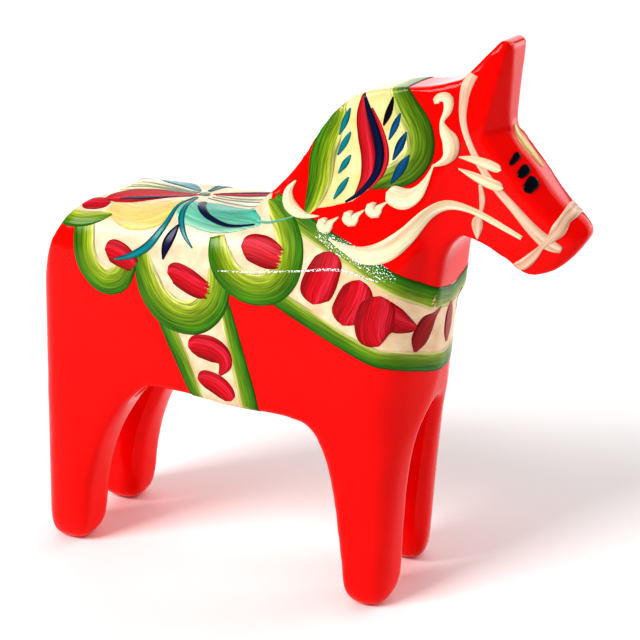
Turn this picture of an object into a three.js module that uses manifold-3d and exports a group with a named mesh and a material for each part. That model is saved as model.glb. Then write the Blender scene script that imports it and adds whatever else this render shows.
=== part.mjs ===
// A carved and painted wooden folk-art horse, 130 mm tall, standing on its four feet.
// Frame: millimetres, +X towards the nose, +Y the horse's left side, +Z up.
// The origin is on the floor, under the centre of the horse's bounding box.
//
// The horse is made as the real one is: a board is sawn to the side outline, the two slots between
// the legs are sawn out, and the edges are whittled away. The painting lies on it as separate films.

import * as THREE from "three";
import { mergeVertices } from "three/addons/utils/BufferGeometryUtils.js";
import Module from "manifold-3d";

// ---- driving dimensions, in millimetres ----
const HEIGHT = 130;
const HALF_WIDTH = 18.2; // half the thickness of the board
const BACK_TOP = 89.5; // crown of the back
const BELLY = 45; // underside of the trunk
const LEG_GAP = 12; // between a left leg and a right leg
const ARCH_TOP = 48; // top of the slot between the legs
const EDGE_DEPTH = 1.5; // how far the whittled edge reaches in from the flank
const EDGE_SIZE = 1; // how much the whittled edge takes off the outline
const CHEST_LEAN = 0.0022; // how much the chest lengthens for each millimetre above mid height
const FILM_GAP = 0.3; // from the wood to a film of paint
const FILM = 0.3; // thickness of a film of paint
const BACK_FILM_DEPTH = 9; // how far below the crown the painting on the back reaches
const REPEAT = 0.05; // points of an outline nearer than this are one point
const FAR = 80; // beyond every part of the horse

const wasm = await Module();
wasm.setup();

// ---- small tools ----

/** A closed geometry as a manifold-3d solid. */
function solidOf(geometry) {
  const bare = geometry.index ? geometry.toNonIndexed() : geometry.clone();
  bare.deleteAttribute("normal");
  bare.deleteAttribute("uv");
  const merged = mergeVertices(bare, 1e-4);
  return new wasm.Manifold(
    new wasm.Mesh({
      numProp: 3,
      vertProperties: merged.attributes.position.array,
      triVerts: new Uint32Array(merged.index.array),
    }),
  );
}

/** A manifold-3d solid as a geometry. */
function geometryOf(solid) {
  const { vertProperties, triVerts } = solid.getMesh();
  const geometry = new THREE.BufferGeometry();
  geometry.setAttribute("position", new THREE.BufferAttribute(vertProperties, 3));
  geometry.setIndex(new THREE.BufferAttribute(triVerts, 1));
  geometry.computeVertexNormals();
  return geometry;
}

/** Moves each point of a closed outline outwards by d, along the bisector of its two edges. */
function grownOutline(points, d) {
  const area = THREE.ShapeUtils.area(points);
  const side = area > 0 ? 1 : -1;
  return points.map((p, i) => {
    const before = points[(i + points.length - 1) % points.length];
    const after = points[(i + 1) % points.length];
    const a = p.clone().sub(before).normalize();
    const b = after.clone().sub(p).normalize();
    const normal = new THREE.Vector2(a.y + b.y, -a.x - b.x).normalize();
    const miter = Math.max(0.5, normal.dot(new THREE.Vector2(a.y, -a.x)));
    return p.clone().addScaledVector(normal, (side * d) / miter);
  });
}

/** A smooth curve through points given as [a, b], sampled about every step millimetres. */
function smooth(points, step = 3) {
  const curve = new THREE.CatmullRomCurve3(
    points.map(([a, b]) => new THREE.Vector3(a, b, 0)),
    false,
    "centripetal",
  );
  const count = Math.max(2, Math.round(curve.getLength() / step));
  return curve.getSpacedPoints(count).map((p) => new THREE.Vector2(p.x, p.y));
}

/** Drops points that repeat the one before. */
function tidyOutline(points) {
  return points.filter((p, i) => p.distanceTo(points[(i + points.length - 1) % points.length]) > REPEAT);
}

/** An outline in X and Y, the same on both sides of the middle, from the half with Y above 0. */
function alongX(half) {
  const left = half.map(([x, y]) => new THREE.Vector2(x, y));
  const right = left
    .slice()
    .reverse()
    .map((p) => new THREE.Vector2(p.x, -p.y));
  return tidyOutline([...left, ...right]);
}

const AXES = {
  side: new THREE.Matrix4().makeBasis(
    new THREE.Vector3(1, 0, 0),
    new THREE.Vector3(0, 0, 1),
    new THREE.Vector3(0, -1, 0),
  ),
  front: new THREE.Matrix4().makeBasis(
    new THREE.Vector3(0, 1, 0),
    new THREE.Vector3(0, 0, 1),
    new THREE.Vector3(1, 0, 0),
  ),
  plan: new THREE.Matrix4(),
};

/** An outline extruded from one place to another across the view it is drawn in. */
function prism(view, outline, from, to) {
  const geometry = new THREE.ExtrudeGeometry(new THREE.Shape(outline), {
    depth: to - from,
    bevelEnabled: false,
  });
  geometry.translate(0, 0, view === "side" ? -to : from);
  geometry.applyMatrix4(AXES[view]);
  return geometry;
}

/** The outline of a shape that is as wide to the left as to the right, from its right half. */
function mirrored(half) {
  const right = half.map(([y, z]) => new THREE.Vector2(y, z));
  const left = half
    .slice()
    .reverse()
    .map(([y, z]) => new THREE.Vector2(-y, z));
  return tidyOutline([...right, ...left]);
}

/** Everything on the outer side of a plane, as a large block. */
function beyond(point, normal) {
  const n = normal.clone().normalize();
  const block = new THREE.BoxGeometry(4 * FAR, 4 * FAR, 2 * FAR);
  block.translate(0, 0, FAR);
  block.applyQuaternion(new THREE.Quaternion().setFromUnitVectors(new THREE.Vector3(0, 0, 1), n));
  block.translate(point.x, point.y, point.z);
  return solidOf(block);
}

/** The plane through three points, facing away from the middle of the horse. */
function planeThrough(a, b, c, grow) {
  const normal = b.clone().sub(a).cross(c.clone().sub(a)).normalize();
  if (normal.dot(a.clone().sub(new THREE.Vector3(0, 0, 60))) < 0) normal.negate();
  return [a.clone().addScaledVector(normal, grow), normal];
}

// ---- the wood ----

/** The side outline that the board is sawn to, in X and Z, from the rear foot over the back. */
function sideOutline() {
  return tidyOutline([
    new THREE.Vector2(-61.6, 0),
    ...smooth([[-64.6, 1.6], [-65.2, 8], [-64.2, 30], [-62.9, 52], [-62.4, 64]], 12),
    ...smooth([[-62.4, 64], [-61, 73.8], [-57.8, 82], [-52.4, 87.4], [-46, BACK_TOP]], 3.5),
    ...smooth([[-46, BACK_TOP], [-30, BACK_TOP], [-14, 89.6], [-8, 91]], 8),
    ...smooth([[-8, 91], [-4.2, 94], [0.6, 98.4], [4.4, 102.6], [8, 109], [11.6, 114], [16, 117.4]], 3),
    ...smooth([[16, 117.4], [24, 119], [32, 120.2], [38, 121.8]], 7),
    ...smooth([[38, 121.8], [41.6, 126], [44.6, 129.6]], 4),
    new THREE.Vector2(45.8, HEIGHT),
    new THREE.Vector2(47.6, 129),
    ...smooth([[47.8, 127.6], [47.6, 120], [47.4, 114]], 8),
    ...smooth([[47.4, 114], [48.4, 110.8], [53.4, 104.6], [60, 96.8], [63.4, 93.4], [65.1, 91]], 4),
    ...smooth([[65.2, 90.2], [63.8, 88], [61.6, 85.2], [58, 83], [54, 82.8], [50.6, 84.6]], 2.6),
    ...smooth([[50.6, 84.6], [45.6, 87.9], [39.6, 89.2]], 5),
    ...smooth([[39.6, 89.2], [38.2, 88], [37.2, 85], [36, 78], [35, 68], [34.2, 57], [33.2, 50]], 5),
    ...smooth([[33.2, 50], [31.6, 43], [30.3, 37], [29.5, 30]], 5),
    ...smooth([[29.5, 30], [28.9, 22], [28.4, 8], [27.4, 1.6]], 12),
    new THREE.Vector2(24.8, 0),
    new THREE.Vector2(18.8, 0),
    ...smooth([[16.8, 1.8], [16.2, 8], [15, 18], [13.3, 30], [11.5, 39], [9.4, 43.4], [6, BELLY]], 5),
    ...smooth([[6, BELLY], [-10, BELLY + 0.2], [-26, BELLY + 1], [-33.4, BELLY + 0.8]], 10),
    ...smooth([[-33.4, BELLY + 0.8], [-37.6, 42.6], [-43, 36], [-48, 25.4], [-51.8, 14], [-53.4, 2]], 6),
    new THREE.Vector2(-55.8, 0),
  ]);
}

/** Cross-section of the trunk, in Y and Z: straight legs, upright flanks and a crowned back. */
function trunkSection() {
  return mirrored([
    [-15.2, 0],
    [-17.4, 2],
    [-18, 20],
    [-HALF_WIDTH, BELLY],
    [-HALF_WIDTH, 72],
    [-18.2, 77],
    [-17.2, 81.4],
    [-15.4, 85],
    [-13, 87.4],
    [-10, 88.8],
    [-5, BACK_TOP],
    [0, BACK_TOP + 0.2],
  ]);
}

/** Cross-section of the neck and head, in Y and Z: flat sides that close towards the crest. */
function neckSection() {
  return mirrored([
    [-17.6, 60],
    [-18.2, 79.6],
    [-14.6, 90],
    [-11.4, 101],
    [-8.4, 115],
    [-7.6, 120],
    [-6.1, HEIGHT + 1],
  ]);
}

/** Plan of the trunk, in X and Y: a rump with its corners taken off and a round chest. */
function trunkPlan() {
  return alongX([
    [-66, 0],
    [-65.6, 9],
    [-64.6, 13.6],
    [-61.6, 17],
    [-55, HALF_WIDTH],
    [20.6, HALF_WIDTH],
    [25.6, 17.2],
    [29.2, 14.6],
    [31.4, 10.9],
    [33.1, 6.4],
    [33.8, 0],
  ]);
}

/** Plan of the neck and head, in X and Y. */
function headPlan() {
  return alongX([
    [-16, 0],
    [-11, 8],
    [0, 16],
    [8, 19.5],
    [22, 19.5],
    [28, 16.4],
    [36.4, 10.4],
    [42, 9],
    [50, 8.6],
    [58, 7.2],
    [62.6, 5.8],
    [66, 3.4],
    [66.2, 0],
  ]);
}

/** The slot between a pair of legs, in Y and Z: a round top, and corners broken at the soles. */
function legSlot(grow) {
  const half = LEG_GAP / 2 - grow;
  const top = ARCH_TOP - grow;
  const round = smooth(
    [[-half, top - 9], [-half * 0.9, top - 4.5], [-half * 0.55, top - 1.2], [0, top]],
    2.4,
  );
  return mirrored([[-half - 4, -2], [-half - 0.4, 2], ...round.map((p) => [p.x, p.y])]);
}

/**
 * The faces whittled on the head: three points of each on the right side, and the box that the knife
 * stays in, from its lowest to its highest corner.
 */
const FACETS = [
  {
    face: [[47.2, -5.9, 128.6], [47.2, -3.4, 114], [43.6, -9, 110.6]], // front of the ear
    box: [[40, -20, 111], [60, 0, 140]],
  },
  {
    face: [[48, -4.3, 111.2], [65.3, -3.2, 91], [45.6, -9, 108.4]], // beside the face
    box: [[44, -20, 80], [80, 0, 112]],
  },
];

/** The wood to take off for one whittled face, on the side of the given hand. */
function shaving({ face, box }, hand, grow) {
  const [a, b, c] = face.map(([x, y, z]) => new THREE.Vector3(x, y * hand, z));
  const [low, high] = box.map((corner) => new THREE.Vector3(...corner));
  const size = high.clone().sub(low);
  const reach = new THREE.BoxGeometry(size.x, size.y, size.z);
  reach.translate((low.x + high.x) / 2, ((low.y + high.y) / 2) * hand, (low.z + high.z) / 2);
  return beyond(...planeThrough(a, b, c, grow)).intersect(solidOf(reach));
}

/** The whole carving, with every face moved outwards by grow. */
function carving(grow) {
  const sawn = new THREE.ExtrudeGeometry(new THREE.Shape(grownOutline(sideOutline(), grow)), {
    depth: 2 * (HALF_WIDTH + grow - EDGE_DEPTH),
    bevelEnabled: true,
    bevelThickness: EDGE_DEPTH,
    bevelSize: EDGE_SIZE,
    bevelOffset: -EDGE_SIZE,
    bevelSegments: 2,
  });
  sawn.translate(0, 0, -(HALF_WIDTH + grow - EDGE_DEPTH));
  sawn.applyMatrix4(AXES.side);
  const board = solidOf(sawn);

  const plan = prism("plan", grownOutline(trunkPlan(), grow), -2, 95);
  const place = plan.attributes.position;
  for (let i = 0; i < place.count; i++) {
    const lean = CHEST_LEAN * (place.getZ(i) - 50);
    if (place.getX(i) > 0) {
      place.setX(i, place.getX(i) * (1 + lean));
    }
  }
  const trunk = board
    .intersect(solidOf(prism("front", grownOutline(trunkSection(), grow), -FAR, FAR)))
    .intersect(solidOf(plan));
  const neck = board
    .intersect(solidOf(prism("front", grownOutline(neckSection(), grow), -FAR, FAR)))
    .intersect(solidOf(prism("plan", grownOutline(headPlan(), grow), 70, HEIGHT + 2)));

  let horse = trunk.add(neck);
  horse = horse.subtract(solidOf(prism("front", legSlot(grow), 7, FAR)));
  horse = horse.subtract(solidOf(prism("front", legSlot(grow), -FAR, -34)));
  for (const facet of FACETS) {
    for (const hand of [1, -1]) {
      horse = horse.subtract(shaving(facet, hand, grow));
    }
  }
  return horse;
}

// ---- the painting ----

/** A leaf or petal between two points, widest near its middle. */
function leaf([x0, z0], [x1, z1], width) {
  const from = new THREE.Vector2(x0, z0);
  const along = new THREE.Vector2(x1 - x0, z1 - z0);
  const across = new THREE.Vector2(-along.y, along.x).normalize();
  const steps = 7;
  const edge = (side) =>
    Array.from({ length: steps }, (_, i) => {
      const t = (i + (side > 0 ? 0 : 1)) / steps;
      const half = (side * width * Math.sin(Math.PI * t) ** 0.7) / 2;
      return from.clone().addScaledVector(along, t).addScaledVector(across, half);
    });
  return [...edge(1), ...edge(-1).reverse()];
}

/** A brush stroke of even width along a smooth path. */
function band(path, width, step = 4) {
  const centre = smooth(path, step);
  const edge = (side) =>
    centre.map((p, i) => {
      const a = centre[Math.max(0, i - 1)];
      const b = centre[Math.min(centre.length - 1, i + 1)];
      const across = new THREE.Vector2(a.y - b.y, b.x - a.x).normalize();
      return p.clone().addScaledVector(across, (side * width) / 2);
    });
  return [...edge(1), ...edge(-1).reverse()];
}

/** A scallop: a crescent hanging from two points of an ellipse, in degrees from +X. */
function scallop({ centre, radii, stroke, turn }) {
  const [from, to] = turn.map(THREE.MathUtils.degToRad);
  const steps = 9;
  const arc = (shrink) =>
    Array.from({ length: steps + 1 }, (_, i) => {
      const a = from + ((to - from) * i) / steps;
      const x = centre[0] + (radii[0] - shrink) * Math.cos(a);
      return new THREE.Vector2(x, centre[1] + (radii[1] - shrink) * Math.sin(a));
    });
  return [...arc(0), ...arc(stroke).reverse()];
}

const points = (list) => list.map(([a, b]) => new THREE.Vector2(a, b));

const CREAM = 0xf3dcba;
const GREEN = 0x4f8a08;
const PETAL_RED = 0xd41430;
const TURQUOISE = 0x6fc0a8;
const TEAL = 0x1c8484;
const NAVY = 0x142048;

/**
 * The films of paint, uppermost first, because each one is cut round the ones before it. An outline
 * is in X and Z where it is seen from the side, and in X and Y where it is seen from above. A film
 * on a side is laid twice, as NAME_right and NAME_left; a film that goes round is laid once.
 */
const FILMS = [
  // saddle: four scallops on each side, each with a red petal, round a cream ground
  {
    name: "rump_petal",
    colour: PETAL_RED,
    view: "plan",
    outline: leaf([-51.8, -12.4], [-44.8, -12.4], 3.6),
  },
  { name: "rear_petal", colour: PETAL_RED, outline: leaf([-43.4, 78.6], [-34.8, 77.4], 5) },
  { name: "middle_petal", colour: PETAL_RED, outline: leaf([-25.6, 76.6], [-14.8, 72.8], 5.2) },
  { name: "front_petal", colour: PETAL_RED, outline: leaf([-8, 84.4], [2.6, 81.8], 5.6) },
  {
    name: "middle_scallop",
    colour: GREEN,
    outline: scallop({ centre: [-23, 75.4], radii: [12.4, 13.2], stroke: 4.4, turn: [178, 362] }),
  },
  {
    name: "front_scallop",
    colour: GREEN,
    outline: scallop({ centre: [-2, 82], radii: [9.6, 11], stroke: 4.4, turn: [218, 398] }),
  },
  {
    name: "rear_scallop",
    colour: GREEN,
    outline: scallop({ centre: [-43, 78], radii: [8.8, 9.8], stroke: 4, turn: [165, 318] }),
  },
  {
    name: "rump_scallop",
    colour: GREEN,
    view: "plan",
    outline: scallop({ centre: [-49.4, -12.4], radii: [5.2, 4.4], stroke: 1.6, turn: [175, 330] }),
  },
  {
    name: "flower_red_rear",
    once: true,
    colour: PETAL_RED,
    view: "plan",
    outline: leaf([-29, -1.5], [-46.5, -9], 7),
  },
  {
    name: "flower_red_front",
    once: true,
    colour: PETAL_RED,
    view: "plan",
    outline: leaf([-24, 1.5], [-7.5, 8.5], 7),
  },
  {
    name: "flower_turquoise_front",
    once: true,
    colour: TURQUOISE,
    view: "plan",
    outline: leaf([-24, -2], [-5.5, -12], 8),
  },
  {
    name: "flower_turquoise_rear",
    once: true,
    colour: TEAL,
    view: "plan",
    outline: leaf([-29, 2], [-45, 11.5], 7),
  },
  {
    name: "saddle_ground",
    colour: CREAM,
    once: true,
    outline: points([
      [-54.4, 100], [-54.4, 88], [-50, 85.4], [-47.4, 82], [-47.4, 76], [-43, 73.4], [-39, 75],
      [-35, 79], [-31, 71], [-23, 67], [-15.4, 70.6], [-12, 79], [-7, 78], [-2, 76.4], [3, 79],
      [3.4, 84], [1.6, 90], [-3, 96], [-3, 100],
    ]),
  },
  // girth: a cream band with green edges, from the saddle round under the belly
  { name: "girth_upper_petal", colour: PETAL_RED, outline: leaf([-21, 58.6], [-11, 57.6], 5.4) },
  { name: "girth_lower_petal", colour: PETAL_RED, outline: leaf([-18.4, 51], [-10.4, 49.6], 4.6) },
  {
    name: "girth_edge_rear",
    colour: GREEN,
    once: true,
    outline: band([[-26.6, 61.4], [-22.8, 54], [-19.6, 46], [-18.2, 40]], 3),
  },
  {
    name: "girth_edge_front",
    colour: GREEN,
    once: true,
    outline: band([[-10.2, 65.4], [-8.4, 57], [-6.2, 46], [-5, 40]], 3),
  },
  {
    name: "girth_ground",
    colour: CREAM,
    once: true,
    outline: points([[-24.8, 61.8], [-17.4, 40], [-6.6, 40], [-12, 62.8], [-18, 61.6]]),
  },
  // breast strap: the same from the saddle round the chest
  { name: "breast_petal_1", colour: PETAL_RED, outline: leaf([9.6, 74.4], [12.6, 84], 5.6) },
  { name: "breast_petal_2", colour: PETAL_RED, outline: leaf([17, 71.4], [20.4, 80.4], 6) },
  { name: "breast_petal_3", colour: PETAL_RED, outline: leaf([24, 67.6], [27.2, 76.8], 6) },
  {
    name: "breast_edge_top",
    colour: GREEN,
    once: true,
    outline: band([[5.4, 89], [15.6, 85.2], [23.6, 81.6], [31, 78.6], [40, 74.6]], 3),
  },
  {
    name: "breast_edge_low",
    colour: GREEN,
    once: true,
    outline: band([[5, 71], [16.4, 66], [25, 61.6], [31, 60], [40, 58]], 3.2),
  },
  {
    name: "breast_ground",
    colour: CREAM,
    once: true,
    outline: points([
      [9, 85.8], [5, 73], [16.4, 68.4], [25, 64], [31, 62], [40, 60], [40, 72], [31, 76],
    ]),
  },
  // mane panel, over the crest of the neck
  {
    name: "mane_stroke",
    colour: PETAL_RED,
    outline: band([[18, 116.4], [18.8, 111], [20.6, 105.6], [20.2, 100.6], [17.8, 97]], 3.6),
  },
  {
    name: "mane_edge_rear",
    colour: GREEN,
    once: true,
    outline: band([[13, 118.6], [10, 112], [7.6, 105.4], [7.4, 99], [6.8, 93.2]], 3),
  },
  {
    name: "mane_edge_front",
    colour: GREEN,
    once: true,
    outline: band([[24.6, 124], [26.6, 119], [31, 113.4], [32, 107], [29.6, 101.6], [24, 99.8]], 3.6),
  },
  {
    name: "mane_ground",
    colour: CREAM,
    once: true,
    outline: points([
      [15, 124], [15, 117.6], [12, 111], [9.8, 104], [9.4, 94.4], [17, 95.4], [25, 102], [29, 103],
      [29.6, 108], [28, 113], [24.4, 118], [22.4, 124],
    ]),
  },
  // bridle, eye and flourishes
  {
    name: "noseband",
    colour: CREAM,
    once: true,
    outline: band([[54, 82.6], [56.4, 87], [59, 91.6], [62.4, 98]], 2.8),
  },
  {
    name: "cheek_strap",
    colour: CREAM,
    outline: band([[39.6, 121], [39.4, 115], [41.2, 110], [45, 103.6], [50.6, 97.4], [56, 91.4]], 1.8),
  },
  {
    name: "eye",
    colour: NAVY,
    outline: points([[50.2, 106.8], [49, 104.4], [53.2, 99.4], [54.6, 101.6]]),
  },
  {
    name: "forehead_stroke",
    colour: CREAM,
    once: true,
    outline: band([[49.2, 109.8], [51.2, 107.4], [54.2, 103.6]], 1.6),
  },
  {
    name: "collar_stroke",
    colour: CREAM,
    outline: band(
      [[12.4, 87.2], [19, 86.4], [26, 87.4], [31.4, 93], [36, 96.6], [42, 96], [52, 90.8]],
      2.4,
    ),
  },
  {
    name: "withers_comma",
    colour: CREAM,
    outline: band([[1.4, 97], [2.4, 94.2], [5, 91.8], [9, 91]], 2),
  },
  {
    name: "crest_flourish",
    colour: CREAM,
    outline: band(
      [[32.9, 117.6], [35.4, 118.2], [36.4, 114], [36.2, 111.4], [38.2, 108.6], [35.6, 105.4]],
      2,
    ),
  },
];

/** Half of space: the left side of the horse for hand 1, and the right side for hand -1. */
function half(hand) {
  return beyond(new THREE.Vector3(0, (hand * FILM_GAP) / 2, 0), new THREE.Vector3(0, hand, 0));
}

/**
 * A solid through the horse with a film's outline, widened by grow. With a hand, it stays on that
 * side of the middle.
 */
function stencil({ outline, view = "side" }, grow, hand = 0) {
  const cut = tidyOutline(grow ? grownOutline(outline, grow) : outline);
  if (view === "side") {
    const through = solidOf(prism("side", cut, -FAR, FAR));
    return hand ? through.intersect(half(hand)) : through;
  }
  const turned = hand > 0 ? cut.map((p) => new THREE.Vector2(p.x, -p.y)) : cut;
  return solidOf(prism("plan", turned, BACK_TOP - BACK_FILM_DEPTH, HEIGHT));
}

// ---- the horse ----

function pieceOf(name, solid, colour, roughness) {
  const mesh = new THREE.Mesh(
    geometryOf(solid),
    new THREE.MeshStandardMaterial({ color: colour, roughness, metalness: 0 }),
  );
  mesh.name = name;
  return mesh;
}

const horse = new THREE.Group();
const wood = carving(0);
horse.add(pieceOf("carved_body", wood, 0xe01508, 0.25));

const coat = carving(FILM_GAP + FILM).subtract(carving(FILM_GAP));
let laid = null;
for (const film of FILMS) {
  const hands = film.once ? { "": 0 } : { _right: -1, _left: 1 };
  for (const [suffix, hand] of Object.entries(hands)) {
    const whole = coat.intersect(stencil(film, 0, hand));
    const paint = laid ? whole.subtract(laid) : whole;
    horse.add(pieceOf(film.name + suffix, paint, film.colour, 0.3));
  }
  for (const hand of Object.values(hands)) {
    const margin = stencil(film, FILM_GAP, hand);
    laid = laid ? laid.add(margin) : margin;
  }
}

export default horse;
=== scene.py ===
import math
import time

import bmesh
import bpy
import numpy as np
from mathutils import Matrix, Vector
from mathutils.bvhtree import BVHTree


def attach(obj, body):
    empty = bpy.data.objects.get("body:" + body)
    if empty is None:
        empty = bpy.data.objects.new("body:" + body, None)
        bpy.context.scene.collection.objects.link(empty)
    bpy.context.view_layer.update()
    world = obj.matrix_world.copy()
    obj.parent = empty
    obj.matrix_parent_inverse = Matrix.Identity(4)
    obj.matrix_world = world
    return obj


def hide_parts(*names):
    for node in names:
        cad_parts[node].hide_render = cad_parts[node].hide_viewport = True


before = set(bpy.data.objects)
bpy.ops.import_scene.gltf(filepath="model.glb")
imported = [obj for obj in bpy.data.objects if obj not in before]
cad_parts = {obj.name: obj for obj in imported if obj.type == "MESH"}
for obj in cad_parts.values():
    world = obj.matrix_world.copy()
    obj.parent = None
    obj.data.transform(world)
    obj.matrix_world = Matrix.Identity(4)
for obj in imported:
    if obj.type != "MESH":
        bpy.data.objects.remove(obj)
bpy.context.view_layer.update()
mm = 0.001
startTime = time.time()


def report(stage):
    print(f"{time.time() - startTime:6.1f} s  {stage}", flush=True)


def hexColour(code, alpha=1.0):
    # sRGB hex to the linear colour that the shaders take
    parts = [int(code[i:i + 2], 16) / 255 for i in (0, 2, 4)]
    linear = [c / 12.92 if c <= 0.04045 else ((c + 0.055) / 1.055) ** 2.4 for c in parts]
    return (*linear, alpha)


def addNode(material, kind, settings=None, links=None):
    # one node: its settings by name or by input, and what each of its inputs is fed from
    tree = material.node_tree
    node = tree.nodes.new(kind)
    for key, value in (settings or {}).items():
        if key in node.inputs.keys() or isinstance(key, int):
            node.inputs[key].default_value = value
        else:
            setattr(node, key, value)
    for key, source in (links or {}).items():
        tree.links.new(source, node.inputs[key])
    return node


def newMaterial(name):
    material = bpy.data.materials.new(name)
    material.use_nodes = True
    material.node_tree.nodes.clear()
    return material


def selectOnly(piece):
    bpy.ops.object.select_all(action="DESELECT")
    piece.select_set(True)
    bpy.context.view_layer.objects.active = piece


def applyModifier(piece, kind, **settings):
    selectOnly(piece)
    modifier = piece.modifiers.new(kind.title(), kind)
    for key, value in settings.items():
        setattr(modifier, key, value)
    bpy.ops.object.modifier_apply(modifier=modifier.name)


def finishPiece(piece, material, replaced=()):
    # gives a piece its finish and hangs it on the one body of the horse
    piece.data.materials.clear()
    piece.data.materials.append(material)
    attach(piece, "root")
    if replaced:
        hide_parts(*replaced)


# the carving: a board sawn to its outline, slotted, whittled and sanded
carving = {
    "halfWidth": 18.6,      # half the board's thickness, mm
    "legGap": 12.0,         # slot between left and right legs
    "archTop": 48.0,
    "frontSlot": (7, 90),   # the slots run from x to x, past both ends of the board
    "rearSlot": (-90, -34),
    "legTop": 42.5,         # where the legs run into the trunk
    "trunkTop": 96,
    "chestLean": 2.2,       # how much longer the plan gets per metre of height, in front
    "rumpLean": 0.8,        # and how much shorter behind
    "grain": 0.72,          # size of the faces after sanding, mm
    "legSanding": 75,       # passes of sanding that make the square legs round
    "chestSanding": 12,     # passes that blend the throat into the chest
    "joinSanding": 36,      # passes where the front legs run into the chest
    "sanding": 14,          # passes on the trunk and legs
    "fineSanding": 3,       # passes everywhere, ears and face too
}

# side outline, mm: (x, z), and "edge" where the knife left a corner
sideOutline = [
    (-62.2, -0.7, "edge"), (-64.8, 1.0), (-65.8, 4.6), (-66.0, 9), (-65.4, 30), (-64.0, 52),
    (-63.0, 64), (-60.8, 72.8),
    (-57.0, 81.6), (-52.2, 87.6), (-46, 89.7), (-30, 89.7), (-14, 89.3), (-9, 90.2), (-4.6, 93.6),
    (0.3, 98.4), (4.0, 103.2), (7.6, 109.3), (11.4, 114.1), (16, 117.4), (24, 119.3), (32, 120.2),
    (38.6, 122.0, "edge"), (46.2, 130.4, "edge"), (48.5, 129.4, "edge"), (47.7, 114, "edge"),
    (48.8, 110.8), (53.8, 104.8), (60.4, 97.0), (64.5, 93.8), (66.3, 91.2, "edge"), (65.4, 89.6, "edge"),
    (62.8, 86.0), (58.6, 82.8), (54, 82.2), (50.4, 84.5), (45.4, 87.6), (40.0, 89.6, "edge"),
    (37.4, 86), (36.2, 79), (35.0, 68), (34.2, 57), (33.2, 50), (31.6, 43), (30.3, 37), (29.5, 30),
    (28.9, 22), (28.4, 9), (27.9, 4.0), (26.6, 0.8), (24.6, -0.7, "edge"), (19.4, -0.7, "edge"),
    (17.3, 0.8),
    (16.4, 4.0), (16.1, 9), (15.1, 18), (13.4, 30), (11.2, 38.4),
    (8.2, 43.4), (4, 44.6), (-10, 44.9), (-26, 46.4), (-33.0, 46.2), (-37.8, 42.8), (-43, 36),
    (-48.4, 25.4), (-51.6, 14), (-52.9, 5), (-53.9, 1.2), (-56.4, -0.7, "edge"),
]

# cross-section of the trunk, mm: (y, z) of the left half, from the floor up
trunkSection = [
    (14.6, -1.4), (17.3, 1.8), (18.4, 7), (18.6, 20), (18.6, 45), (18.6, 70), (18.5, 77), (17.6, 81.6),
    (15.6, 85.4),
    (13, 87.8), (10, 89.2), (5, 89.9), (0, 90.1),
]

# cross-section of the neck and head, seen from the front
neckSection = [
    (18.4, 60, "edge"), (18.4, 79.8, "edge"), (14.8, 90), (11.6, 101), (8.6, 115), (7.9, 119.6),
    (6.0, 131, "edge"),
]

# plans of the legs and of the trunk, mm: (x, y) of the left half, from the rump forwards
legPlan = [
    (-67.2, 0), (-67.2, 8), (-66.5, 13.8), (-63.2, 17.7), (-57, 18.9), (-40, 19), (0, 19), (19.4, 18.9),
    (25.8, 18.2), (29.2, 16), (30.8, 12.6), (32, 8), (33, 4), (33.4, 0),
]
trunkPlan = [
    (-67.0, 0), (-67.0, 9), (-66.2, 14), (-63.4, 17.4), (-58, 18.6), (-40, 18.7), (0, 18.7), (18, 18.7),
    (21, 18.6), (25.6, 17.5), (29.2, 14.6), (31.4, 10.9), (33.1, 6.4), (33.8, 0),
]

# plan of the neck and head
headPlan = [
    (-16, 0, "edge"), (-11, 8), (0, 16), (8, 19.6), (20, 19.4), (25, 17.2), (31, 13.4), (37, 10.2),
    (42, 9.1), (50, 8.6), (58, 7.2), (62.6, 5.6), (65.6, 3.4, "edge"), (66.2, 0),
]


def sawBoard(name, outline, low, high, view):
    # an outline sawn out of a board that reaches from low to high across the view
    bpy.ops.object.select_all(action="DESELECT")
    bpy.ops.curve.primitive_bezier_curve_add()
    board = bpy.context.object
    board.name = name
    curve = board.data
    curve.dimensions = "2D"
    curve.fill_mode = "BOTH"
    curve.resolution_u = 6
    curve.extrude = (high - low) / 2 * mm
    points = curve.splines[0].bezier_points
    points.add(len(outline) - len(points))
    for point, place in zip(points, outline):
        point.co = (place[0] * mm, place[1] * mm, 0)
        kind = "VECTOR" if len(place) > 2 else "AUTO"
        point.handle_left_type = point.handle_right_type = kind
    curve.splines[0].use_cyclic_u = True
    selectOnly(board)
    bpy.ops.object.convert(target="MESH")
    bpy.ops.object.mode_set(mode="EDIT")
    bpy.ops.mesh.select_all(action="SELECT")
    bpy.ops.mesh.remove_doubles(threshold=0.02 * mm)
    bpy.ops.mesh.normals_make_consistent(inside=False)
    bpy.ops.object.mode_set(mode="OBJECT")
    middle = (low + high) / 2 * mm
    turns = {
        "side": Matrix.Rotation(math.radians(90), 4, "X") @ Matrix.Translation((0, 0, -middle)),
        "front": Matrix(((0, 0, 1, middle), (1, 0, 0, 0), (0, 1, 0, 0), (0, 0, 0, 1))),
        "plan": Matrix.Translation((0, 0, middle)),
    }
    board.data.transform(turns[view])
    board.matrix_world = Matrix.Identity(4)
    return board


def bothHalves(half, flip):
    # the whole outline from its left half: flip says which of the two numbers changes sign
    other = [p for p in reversed(half) if abs(p[flip]) > 0.01]
    mirrored = [tuple(-v if i == flip else v for i, v in enumerate(p)) for p in other]
    return list(half) + mirrored


def trim(piece, tool, operation):
    applyModifier(piece, "BOOLEAN", operation=operation, object=tool, solver="EXACT")
    bpy.data.objects.remove(tool)


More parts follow.
